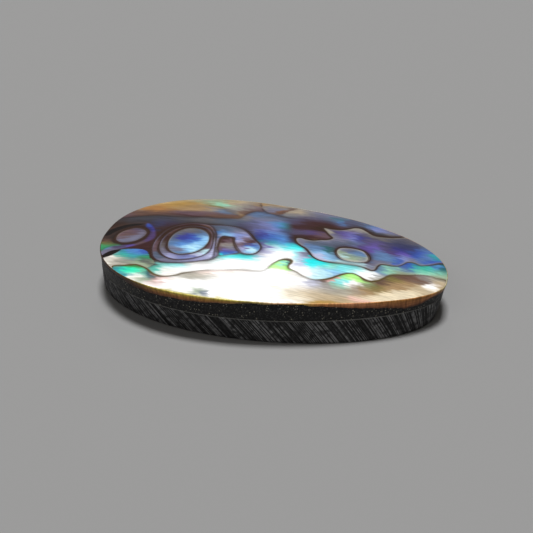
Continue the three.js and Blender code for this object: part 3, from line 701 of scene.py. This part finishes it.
TERRACES = [  # from the bottom of the stack to the top
    terrace(
        FAR, soft=0.35, line=(0.22, "soot", 0.45), rim=("umber", 0.45, 0.5),
        shade=("graphite", 0.5, 0.5),
        outline=[
            (-21, 3.2), (-19.3, 3.4), (-18, 3.9), (-16.5, 4.4), (-15, 4.7), (-13, 4.75), (-11, 4.95),
            (-9.5, 5.3), (-8, 5.35), (-6.5, 5.6), (-5.4, 5.9), (-5, 6.8), (-4.6, 7.7), (-4, 8.4),
            (-3.2, 8.6), (-2.9, 9.4), (-2, 12), (-12, 13), (-20, 11),
        ],
    ),
    terrace(
        BACK, soft=0.3, line=(0.24, "umber", 0.85), rim=("umber", 0.4, 0.6), shade=("dusk", 0.4, 0.3),
        outline=[
            (-3, 8.6), (-2, 8.2), (0, 7.7), (1.6, 7.6), (3.4, 7.2), (4.6, 6.6), (5.4, 6.4), *FAR_COAST,
            (15, 9), (8, 12), (0, 13), (-4, 12),
        ],
    ),
    terrace(
        CUP, soft=0.1, line=(0.18, "cocoa", 0.45),
        outline=[
            (-3.9, 12), (-3.8, 10.2), (-3.4, 9.4), (-2.9, 8.85), (-2.3, 8.45), (-1.6, 8.3), (-1, 8.5),
            (-0.65, 9.1), (-0.4, 9.8), (0.1, 10.4), (0.7, 12),
        ],
    ),
    terrace(
        MAROON, soft=1.8,
        outline=[
            (0.2, 7.2), (1.6, 8.2), (3.3, 8.2), (5.4, 8), (7.6, 6), (7.6, 3), (5.4, 1.6), (3.2, 1.4),
            (2.1, 1.6), (1.4, 2.7), (1.1, 3.6), (0.8, 4.6), (0.3, 5.9),
        ],
    ),
    terrace(
        ISLAND, soft=0.08, line=(0.14, "umber", 0.95), rim=("stone", 0.28, 0.6),
        shade=("umber", 0.2, 0.5),
        outline=[
            (2.15, 2.75), (2.4, 1.9), (3, 1.25), (3.8, 0.65), (4.4, -0.1), (4.9, -0.8), (5.6, -1.3),
            (6.4, -1.5), (7.2, -1.5), (8.5, -1.4), (9.7, -1.35), (10.8, -1.45), (11.5, -1.75),
            (12, -1.85), (12.3, -1.5), (12.4, -0.8), (12.65, -0.3), (13.2, -0.15), (14, -0.15),
            (14.7, 0.15), (15.1, 0.65), (15.4, 1.15), (15.8, 1.35), (16.3, 1.3), (17, 1.05),
            (17.6, 1.25), (18.3, 1.7), (18.9, 2.2), (20.5, 3.4), (19, 8), *reversed(FAR_COAST),
            (5.5, 6.4), (4.7, 6.45), (4.6, 6.1), (5.1, 5.4), (5.6, 4.7), (6.1, 4.05), (5.7, 3.5),
            (4.9, 3.2), (4.2, 2.85), (3.4, 2.85), (2.7, 3.05),
        ],
    ),
    terrace(
        ISLAND_EYE, soft=0.05, line=(0.2, "umber", 0.95), rim=("pearl", 0.25, 0.7),
        shade=("maroon", 0.55, 0.85),
        outline=[
            (9.2, 2.35), (10.2, 2.1), (10.85, 1.4), (11.2, 0.5), (11, -0.2), (10.3, -0.5),
            (9.1, -0.6), (8.1, -0.35), (7.45, 0.35), (7.2, 1.2), (7.45, 1.95), (8.2, 2.3),
        ],
    ),
    terrace(
        POOL, shade=("umber", 0.25, 0.6),
        outline=[
            (-19, -6.5), (-18.1, -5.9), (-17.4, -4.6), (-17, -4.1), (-16.2, -3.75), (-15.2, -3.55),
            (-14.2, -3.55), (-13.5, -3.9), (-13.1, -4.5), (-12.8, -5.1), (-12.2, -5.6), (-11.9, -6.3),
            (-12.6, -7.2), (-14, -7), (-16, -7.6), (-17, -9),
        ],
    ),
    terrace(
        LOW, soft=0.08, line=(0.15, "bark", 0.95), rim=("graphite", 0.35, 0.35),
        shade=("pearl", 0.2, 0.3),
        outline=[
            (-17.2, -9.5), (-16.4, -7.9), (-16.4, -7.45), (-15.9, -7.2), (-15.2, -7.1), (-14.4, -6.85),
            (-13.8, -6.75), (-13, -7), (-12.3, -7.4), (-11.6, -8), (-11, -8.3), (-10.3, -8.4),
            (-9.5, -8.25), (-8.8, -7.9), (-8, -7.3), (-6, -6.4), (-4, -5.9), (-2, -5.4), (-0.2, -5.25),
            (0.5, -4.7), (0.8, -3.9), (1.1, -3.2), (1.6, -2.5), (2.3, -2.1), (2.9, -2.25), (2.95, -2.8),
            (2.8, -3.3), (3, -3.9), (3.8, -4.3), (4.9, -5), (6, -5.3), (7, -5.05), (7.8, -4.6),
            (8.5, -3.9), (9.2, -3.3), (10, -3), (10.8, -3.35), (11.5, -3.8), (12.2, -3.95),
            (13, -3.55), (13.5, -2.9), (14, -2.2), (14.8, -1.75), (16, -1.45), (17, -1.05), (18, -0.85),
            (19, -1), (20.6, -2), (18, -9), (8, -13), (-8, -13),
        ],
    ),
    terrace(
        CRESCENT, soft=0.4, shade=("maroon", 0.3, 0.5),
        outline=[
            (-15.7, 2.5), (-15.1, 2.2), (-14.4, 1.3), (-13.9, 0.2), (-13.7, -0.8), (-14.2, -1.7),
            (-15, -2.5), (-16, -3.2), (-16.9, -3.9), (-17.5, -4.5), (-18.1, -5.6), (-18.9, -5.4),
            (-18.7, -4.2), (-18, -3.4), (-17, -3), (-15.9, -2.6), (-15, -1.8), (-14.6, -0.9),
            (-14.8, 0), (-15.2, 1), (-15.6, 1.8),
        ],
    ),
    # the black slit at the left tip
    terrace(
        INK, shade=("mauve", 0.15, 0.4),
        outline=[
            (-16.75, -3.85), (-16.8, -4.35), (-17.3, -5.2), (-17.9, -5.8), (-18.5, -6.3), (-18.4, -5.4),
            (-17.8, -4.4),
        ],
    ),
    # the black brow over the left eye
    terrace(
        INK, soft=0.35, shade=("cocoa", 0.3, 0.4),
        outline=[
            (-20.2, -0.9), (-19.4, 0.6), (-18.4, 1.6), (-17.2, 2.2), (-15.9, 2.4), (-16.6, 1.9),
            (-17.8, 1.1), (-18.7, 0.1), (-19.3, -1),
        ],
    ),
    terrace(
        LEFT_EYE, line=(0.24, "umber", 0.95), rim=("stone", 0.2, 0.5), shade=("soot", 0.4, 0.8),
        outline=[
            (-16.6, 1.45), (-15.5, 1.2), (-14.85, 0.4), (-14.85, -0.6), (-15.4, -1.7), (-16.3, -2.4),
            (-17.3, -2.5), (-18.1, -2), (-18.35, -1.1), (-18.2, -0.1), (-17.5, 0.9),
        ],
    ),
    terrace(
        HOOK, line=(0.17, "umber", 0.95), rim=("lilac", 0.14, 0.45), shade=("soot", 0.55, 0.8),
        outline=[
            (-9, 3.35), (-7.5, 3.6), (-6, 3.7), (-4.8, 3.5), (-3.8, 3), (-3, 2.15), (-2.2, 1.1),
            (-1.55, 0.4), (-1.15, -0.4), (-1.2, -1.3), (-1.6, -1.95), (-2.4, -2.2), (-3.1, -2.05),
            (-3.6, -1.4), (-4.1, -0.6), (-4.5, 0.3), (-4.7, 1), (-5.3, 1.1), (-6, 1.1), (-6.2, 0.4),
            (-6.1, -0.5), (-5.95, -1.6), (-5.7, -2.4), (-5.4, -3.1), (-6.4, -4.4), (-9, -4), (-10.5, 2),
        ],
    ),
    terrace(
        NOTCH, line=(0.17, "umber", 0.95), rim=("cocoa", 0.2, 0.6), shade=("tan", 0.12, 0.5),
        outline=[
            (-6, 1), (-5.3, 1), (-4.8, 0.9), (-4.5, 0.2), (-4.1, -0.7), (-3.6, -1.5),
            (-3.2, -2.1), (-4, -2.7), (-5.2, -3.2), (-5.6, -2.4), (-5.9, -1.6), (-6.05, -0.5),
            (-6.15, 0.4),
        ],
    ),
    terrace(
        RING_3, line=(0.13, "umber", 0.9), rim=("lilac", 0.14, 0.5), shade=("umber", 0.35, 0.6),
        outline=[
            (-9.7, 3.6), (-8.2, 3.3), (-7.2, 2), (-6.7, 0.5), (-6.3, -1.2), (-6, -2.6),
            (-5.9, -3.7), (-6.6, -4.4), (-7.8, -5), (-9, -5.45), (-10.4, -5.7), (-11.5, -5.6),
            (-12.4, -5), (-13, -3.9), (-13.4, -2.4), (-13.4, -0.6), (-13.1, 1), (-12.4, 2.3),
            (-11.1, 3.3),
        ],
    ),
    terrace(
        RING_2, soft=0.05, line=(0.14, "umber", 0.95), rim=("lilac", 0.16, 0.55),
        shade=("umber", 0.22, 0.6),
        outline=[
            (-9.6, 3), (-8.3, 2.7), (-7.35, 1.6), (-6.95, 0.2), (-6.65, -1.2), (-6.6, -2.3),
            (-6.95, -3.4), (-7.8, -4.2), (-8.9, -4.75), (-10, -4.9), (-10.9, -4.7), (-11.8, -4.1),
            (-12.4, -3.2), (-12.7, -2), (-12.75, -0.6), (-12.5, 0.8), (-11.9, 1.9), (-10.9, 2.7),
        ],
    ),
    terrace(
        RING_1, soft=0.05, line=(0.17, "umber", 0.95), rim=("stone", 0.16, 0.75),
        shade=("maroon", 0.35, 0.75),
        outline=[
            (-9.6, 2.45), (-8.6, 2.15), (-7.75, 1.35), (-7.35, 0.3), (-7.25, -0.9), (-7.5, -2.15),
            (-8.3, -3.2), (-9.6, -3.8), (-10.7, -3.55), (-11.5, -2.8), (-11.85, -1.7), (-11.95, -0.5),
            (-11.8, 0.75), (-11.3, 1.75), (-10.5, 2.35),
        ],
    ),
]

FADES = [  # where growth lines grow faint: x, y, reach, share lost
    (-6, 6.2, 3, 0.95), (-4.4, -3, 0.9, 0.9), (-2.5, 8.3, 1.6, 0.9), (0.8, 7.7, 2.2, 0.9),
    (-4.5, -6, 4.5, 0.6), (0.3, -4.8, 1.6, 0.6), (4, -4.6, 1.4, 0.3), (8.5, -1.3, 1.2, 0.3),
    (9.5, -0.7, 1.5, 0.6), (5.5, -5.3, 1, 0.45), (17, -1, 3, 0.6),
]


# The slice's edge: x in mm and depth times EDGE_STRETCH, with depth 0 at the face and 1 at the resin.
EDGE_STRETCH = 4
EDGE_DROPS = [
    ("umber", -18, 0.5, 2, 2), ("bark", -14, 0.2, 2, 0.7), ("umber", -14, 2.5, 3, 1.6),
    ("straw", -10.5, 0.2, 1.4, 0.8), ("ochre", -10.5, 1.4, 1.4, 0.7), ("straw", -8, 0.3, 1.5, 0.8),
    ("ochre", -7.5, 1.8, 2.5, 0.8), ("rust", -8, 3.2, 2.5, 0.8), ("umber", -9, 4.2, 3.5, 0.6),
    ("straw", -3, 0.6, 2, 0.9), ("ochre", -3, 2.2, 2, 0.9), ("cocoa", -3, 4, 2, 0.6),
    ("straw", 0.5, 1, 1.6, 1.2), ("olive", 1, 3.4, 1.6, 0.9), ("pearl", 2, 0.1, 1.2, 0.5),
    ("salmon", 4, 1.6, 1.8, 1.2), ("blush", 3.2, 1, 0.8, 0.8), ("straw", 5.8, 2, 0.8, 1.2),
    ("ochre", 8, 1, 1.5, 1.2), ("rust", 9, 3, 1.5, 1.2), ("salmon", 11, 1, 1.5, 0.9),
    ("rust", 12.5, 2.6, 2, 1), ("ochre", 15, 0.8, 2, 0.9), ("rust", 16, 2.2, 2.5, 0.9),
    ("umber", 17, 4, 3, 0.6), ("sage", 20.2, 0.4, 0.6, 0.9), ("ochre", 18.5, 0.8, 1.2, 0.8),
    ("rust", 17.6, 1.4, 1.2, 0.8),
]


def blend(colour, other, share):
    """Mixes other into colour by share, in place."""
    colour += (other - colour) * np.reshape(share, (-1, 1))


def smooth_step(value):
    value = np.clip(value, 0, 1)
    return value * value * (3 - 2 * value)


def lay_terrace(layer, x, y, drop_x, drop_y, look):
    """Paints one terrace, and its growth line, over what lies under it."""
    depth = inside_depth(x, y, smooth_loop(layer["outline"]))
    colour = look["colour"]
    if layer["shade"]:
        name, reach, amount = layer["shade"]
        blend(colour, linear(name), amount * np.exp(np.minimum(depth, 0) / reach) * (depth < 0))
    cover = smooth_step(0.5 + depth / layer["soft"])
    here = np.flatnonzero(cover > 0)
    own = drop_colour(drop_x[here], drop_y[here], layer["drops"])
    if layer["rim"]:
        name, reach, amount = layer["rim"]
        blend(own, linear(name), amount * np.exp(-((np.maximum(depth[here], 0) / reach) ** 2)))
    colour[here] += (own - colour[here]) * cover[here, None]
    look["strength"][depth > 0] = 0
    look["line"][depth > 0] = NO_LINE
    if layer["line"]:
        draw_line(layer["line"], depth, look)


def draw_line(line, depth, look):
    """Adds a growth line along a terrace's outline, where it is nearer than those drawn before."""
    half_width, name, strength = line
    distance = np.abs(depth) / (half_width * look["line_width"])
    nearer = distance < look["line"]
    look["line"][nearer] = distance[nearer]
    look["strength"][nearer] = strength
    look["line_colour"][nearer] = linear(name)


def on_level_oval(plan):
    """Where points of the arched face would be seen if it were level, as the pattern was drawn."""
    along = plan[:, 0] / HALF_LENGTH
    slide = PATTERN_SLIDE[0] + PATTERN_SLIDE[1] * along + PATTERN_SLIDE[2] * along**2
    turn = math.radians(CAMERA_AZIMUTH)
    return plan[:, 0] - slide * math.sin(turn), plan[:, 1] + slide * math.cos(turn)


def paint(plan):
    """The face's look at plan points: colours, and distance and strength of the nearest line."""
    x, y = on_level_oval(plan)
    streaks = plan * STREAK_SCALE  # the edges of the drops are frayed along these
    drop_x = x + 0.35 * cloud(streaks, 1.6, 1) + 0.25 * cloud(streaks, 0.5, 2)
    drop_y = y + 0.12 * cloud(streaks, 1.6, 3) + 0.06 * cloud(streaks, 0.5, 4)
    look = {
        "colour": drop_colour(drop_x, drop_y, FIELD),
        "line": np.full(x.shape, NO_LINE),
        "strength": np.zeros(x.shape),
        "line_colour": np.tile(linear("umber"), (len(x), 1)),
        "line_width": 1 + 0.3 * np.clip(cloud(plan, 3.5, 5), -1.5, 1.5),
    }
    for layer in TERRACES:
        lay_terrace(layer, x, y, drop_x, drop_y, look)
    for fade_x, fade_y, reach, lost in FADES:
        near = np.exp(-((x - fade_x) ** 2 + (y - fade_y) ** 2) / reach**2)
        look["strength"] *= 1 - lost * near
    return look


# ---------------------------------------------------------------- materials
NACRE_GAMMA = 1.1  # above 1 deepens the nacre's darker colours
SPECKS_PER_MM = 4.4  # places for a speck in the resin, of which only some are filled


class Nodes:
    """Short ways to add shader nodes to one material."""

    def __init__(self, name):
        self.material = bpy.data.materials.new(name)
        self.material.use_nodes = True
        self.tree = self.material.node_tree
        self.shader = self.tree.nodes["Principled BSDF"]

    def add(self, kind, **settings):
        node = self.tree.nodes.new(kind)
        for name, value in settings.items():
            setattr(node, name, value)
        return node

    def feed(self, socket, value):
        """Links a socket's value into another socket, or sets a plain value on it."""
        if isinstance(value, bpy.types.NodeSocket):
            self.tree.links.new(value, socket)
        else:
            socket.default_value = value

    def attribute(self, name, output="Fac"):
        return self.add("ShaderNodeAttribute", attribute_name=name).outputs[output]

    def math(self, operation, *values):
        node = self.add("ShaderNodeMath", operation=operation)
        for socket, value in zip(node.inputs, values):
            self.feed(socket, value)
        return node.outputs[0]

    def vector(self, operation, *values):
        node = self.add("ShaderNodeVectorMath", operation=operation)
        for socket, value in zip(node.inputs, values):
            self.feed(socket, value)
        return node.outputs[0]

    def place(self):
        """The point in mm in the part's frame."""
        coordinates = self.add("ShaderNodeTexCoord").outputs["Object"]
        return self.vector("MULTIPLY", coordinates, (1 / MM,) * 3)

    def scaled(self, colour, share):
        """The colour with its brightness multiplied by share."""
        node = self.add("ShaderNodeVectorMath", operation="SCALE")
        self.feed(node.inputs["Vector"], colour)
        self.feed(node.inputs["Scale"], share)
        return node.outputs[0]

    def stretched(self, vector, turn, scale):
        """The vector turned by degrees about Z, then scaled: a low scale draws noise out."""
        node = self.add("ShaderNodeMapping")
        self.feed(node.inputs["Vector"], vector)
        node.inputs["Rotation"].default_value = (0, 0, math.radians(turn))
        node.inputs["Scale"].default_value = scale
        return node.outputs[0]

    def noise(self, vector, scale, detail):
        node = self.add("ShaderNodeTexNoise")
        self.feed(node.inputs["Vector"], vector)
        node.inputs["Scale"].default_value = scale
        node.inputs["Detail"].default_value = detail
        return node.outputs[0]

    def ramp(self, value, low, high, to_low=0.0, to_high=1.0):
        """Maps low..high smoothly to to_low..to_high."""
        node = self.add("ShaderNodeMapRange", interpolation_type="SMOOTHSTEP")
        for socket, number in zip(node.inputs[:5], (value, low, high, to_low, to_high)):
            self.feed(socket, number)
        return node.outputs[0]

    def mix(self, share, first, second):
        """A blend of two colours. The sockets are a colour mix's own, found by number."""
        node = self.add("ShaderNodeMix", data_type="RGBA")
        for index, value in ((0, share), (6, first), (7, second)):
            self.feed(node.inputs[index], value)
        return node.outputs[2]

    def bump(self, height, strength, distance_mm):
        node = self.add("ShaderNodeBump")
        self.feed(node.inputs["Height"], height)
        node.inputs["Strength"].default_value = strength
        node.inputs["Distance"].default_value = distance_mm * MM
        return node.outputs[0]

    def finish(self, colour, **values):
        """Sets the shader's sockets, named here in lower case, and returns the material."""
        self.feed(self.shader.inputs["Base Color"], colour)
        sockets = {s.name.lower().replace(" ", "_"): s for s in self.shader.inputs}
        for name, value in values.items():
            self.feed(sockets[name], value)
        return self.material


def grey(value):
    return (value, value, value, 1)


def nacre_material():
    n = Nodes("polished nacre")
    place = n.place()
    silk = n.noise(n.stretched(place, 8, (0.5, 5, 1)), 1, 3)  # long streaks
    hatch = n.noise(n.stretched(place, 35, (0.7, 7, 1)), 1, 2)  # fine hatching across them
    shade = n.math("MULTIPLY", n.ramp(silk, 0.3, 0.7, 0.88, 1.12), n.ramp(hatch, 0.3, 0.7, 0.9, 1.1))
    colour = n.scaled(n.attribute("nacre", "Color"), shade)
    distance = n.attribute("line")
    halo = n.ramp(distance, 0.8, 2.4, 0.4, 0)  # a growth line is a dark core in a faint halo
    core = n.math("MAXIMUM", n.ramp(distance, 0.6, 1.25, 1, 0), halo)
    line = n.math("MULTIPLY", core, n.attribute("strength"))
    deepened = n.add("ShaderNodeGamma")
    n.feed(deepened.inputs["Color"], n.mix(line, colour, n.attribute("line_colour", "Color")))
    deepened.inputs["Gamma"].default_value = NACRE_GAMMA
    return n.finish(
        deepened.outputs[0],
        roughness=0.35,
        specular_ior_level=0.1,
        coat_weight=1.0,
        coat_roughness=0.07,
        coat_ior=1.45,
    )


def edge_material():
    n = Nodes("shell edge")
    place = n.place()
    upright = n.noise(n.stretched(place, 0, (4, 4, 0.8)), 1, 3)
    layers = n.noise(n.stretched(place, 0, (0.3, 0.3, 6)), 1, 2)
    upright_shade = n.ramp(upright, 0.25, 0.75, 0.7, 1.5)
    shade = n.math("MULTIPLY", upright_shade, n.ramp(layers, 0.3, 0.7, 0.85, 1.25))
    colour = n.scaled(n.attribute("nacre", "Color"), shade)
    return n.finish(colour, roughness=0.4, specular_ior_level=0.2)


def resin_material():
    n = Nodes("black resin")
    place = n.place()
    cells = n.add("ShaderNodeTexVoronoi")
    n.feed(cells.inputs["Vector"], place)
    cells.inputs["Scale"].default_value = SPECKS_PER_MM
    chosen = n.ramp(cells.outputs["Color"], 0.66, 0.74)
    speck = n.math("MULTIPLY", n.ramp(cells.outputs["Distance"], 0.14, 0.4, 1, 0), chosen)
    grit = n.noise(place, 6, 3)
    base = n.mix(n.ramp(grit, 0.5, 0.68), (0.004, 0.0038, 0.0045, 1), (0.05, 0.05, 0.05, 1))
    colour = n.mix(speck, base, (0.32, 0.3, 0.24, 1))
    return n.finish(colour, roughness=0.5, specular_ior_level=0.25, normal=n.bump(grit, 0.5, 0.03))


def slab_material():
    n = Nodes("ground black slab")
    place = n.place()
    grain = n.attribute("grain", "Vector")
    fine = n.noise(grain, 6.5, 1)
    broken = n.ramp(n.noise(place, 1.6, 3), 0.35, 0.6, 0.15, 1)
    streak = n.math("MULTIPLY", n.ramp(fine, 0.48, 0.62), broken)
    mottle = n.ramp(n.noise(place, 5, 3), 0.35, 0.7)
    base = n.mix(mottle, (0.005, 0.005, 0.0055, 1), (0.024, 0.024, 0.024, 1))
    colour = n.mix(streak, base, (0.21, 0.21, 0.215, 1))
    height = n.add("ShaderNodeSeparateXYZ")
    n.feed(height.inputs[0], place)
    top_edge_highlight = n.ramp(height.outputs["Z"], SLAB_TOP - 0.15, SLAB_TOP - 0.06, 0, 0.6)  # a painted highlight along its top edge
    colour = n.mix(top_edge_highlight, colour, (0.2, 0.2, 0.19, 1))
    return n.finish(colour, roughness=0.65, specular_ior_level=0.2, normal=n.bump(fine, 0.6, 0.03))


def slab_back_material():
    n = Nodes("ground back")
    place = n.place()
    scratch = n.noise(n.stretched(place, 35, (0.15, 5, 1)), 1, 3)
    other = n.noise(n.stretched(place, -40, (0.2, 7, 1)), 1, 3)
    both = n.math("MAXIMUM", n.ramp(scratch, 0.55, 0.7), n.ramp(other, 0.58, 0.72))
    colour = n.mix(both, (0.016, 0.016, 0.017, 1), (0.075, 0.075, 0.073, 1))
    return n.finish(colour, roughness=0.6, normal=n.bump(both, 0.4, 0.03))


# ---------------------------------------------------------------- floor, lights and camera
FLOOR_GREY = 0.24
FLOOR_HALF = 6.0  # metres from its middle to its sides
WORLD_COLOUR = (0.1, 0.092, 0.082, 1)  # dim and slightly warm

# The photograph's viewpoint, fitted to the object's outline: degrees and mm in the part's frame.
CAMERA_ELEVATION = 30.5
CAMERA_VIEW = 22.0
CAMERA_DISTANCE = 157.9
CAMERA_AIM = Vector((-0.9, 1.29, -0.36))  # from the middle of the part's box


def direction(azimuth, elevation):
    """Unit vector from the object towards a viewpoint, in the camera's own angles."""
    a, e = math.radians(azimuth), math.radians(elevation)
    return Vector((math.sin(a) * math.cos(e), -math.cos(a) * math.cos(e), math.sin(e)))


def look_at(thing, place, target):
    thing.location = place
    thing.rotation_mode = "QUATERNION"
    thing.rotation_quaternion = (target - place).to_track_quat("-Z", "Y")
    bpy.context.scene.collection.objects.link(thing)


def soft_box(name, azimuth, elevation, distance, width, height, power):
    """An area light that faces the object. Angles are in degrees, lengths in mm, power in watts."""
    light = bpy.data.lights.new(name, "AREA")
    light.shape = "RECTANGLE"
    light.size, light.size_y = width * MM, height * MM
    light.energy = power
    place = direction(azimuth, elevation) * distance * MM
    look_at(bpy.data.objects.new(name, light), place, Vector())


def make_floor():
    mesh = bpy.data.meshes.new("floor")
    corners = [(x * FLOOR_HALF, y * FLOOR_HALF, 0) for x, y in ((-1, -1), (1, -1), (1, 1), (-1, 1))]
    mesh.from_pydata(corners, [], [(0, 1, 2, 3)])
    floor = bpy.data.objects.new("floor", mesh)
    bpy.context.scene.collection.objects.link(floor)
    n = Nodes("pale floor")
    mesh.materials.append(n.finish(grey(FLOOR_GREY), roughness=0.9))


def make_world():
    world = bpy.data.worlds.new("studio")
    world.use_nodes = True
    world.node_tree.nodes["Background"].inputs["Color"].default_value = WORLD_COLOUR
    bpy.context.scene.world = world


def make_camera():
    camera = bpy.data.cameras.new("camera")
    camera.angle = math.radians(CAMERA_VIEW)
    camera.clip_start, camera.clip_end = 0.005, 20
    low, high = cad_box
    target = (low + high) / 2 + CAMERA_AIM * MM
    viewer = bpy.data.objects.new("camera", camera)
    away = direction(CAMERA_AZIMUTH, CAMERA_ELEVATION) * CAMERA_DISTANCE * MM
    look_at(viewer, target + away, target)
    bpy.context.scene.camera = viewer


def make_studio():
    make_floor()
    make_world()
    make_camera()
    bpy.context.scene.view_settings.view_transform = "Standard"
    soft_box("overhead", 180, 86, 2600, 585, 520, 75)
    soft_box("glare", 196, 47, 420, 60, 170, 0.07)
    soft_box("front", -20, 40, 2500, 2000, 1250, 8.8)


# ---------------------------------------------------------------- the object
def stand_for(piece, node):
    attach(piece, "root")
    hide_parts(node)


make_studio()
stand_for(shell_slice(), "shell_slice")
stand_for(resin_bed(), "resin_bed")
stand_for(backing_slab(), "backing_slab")
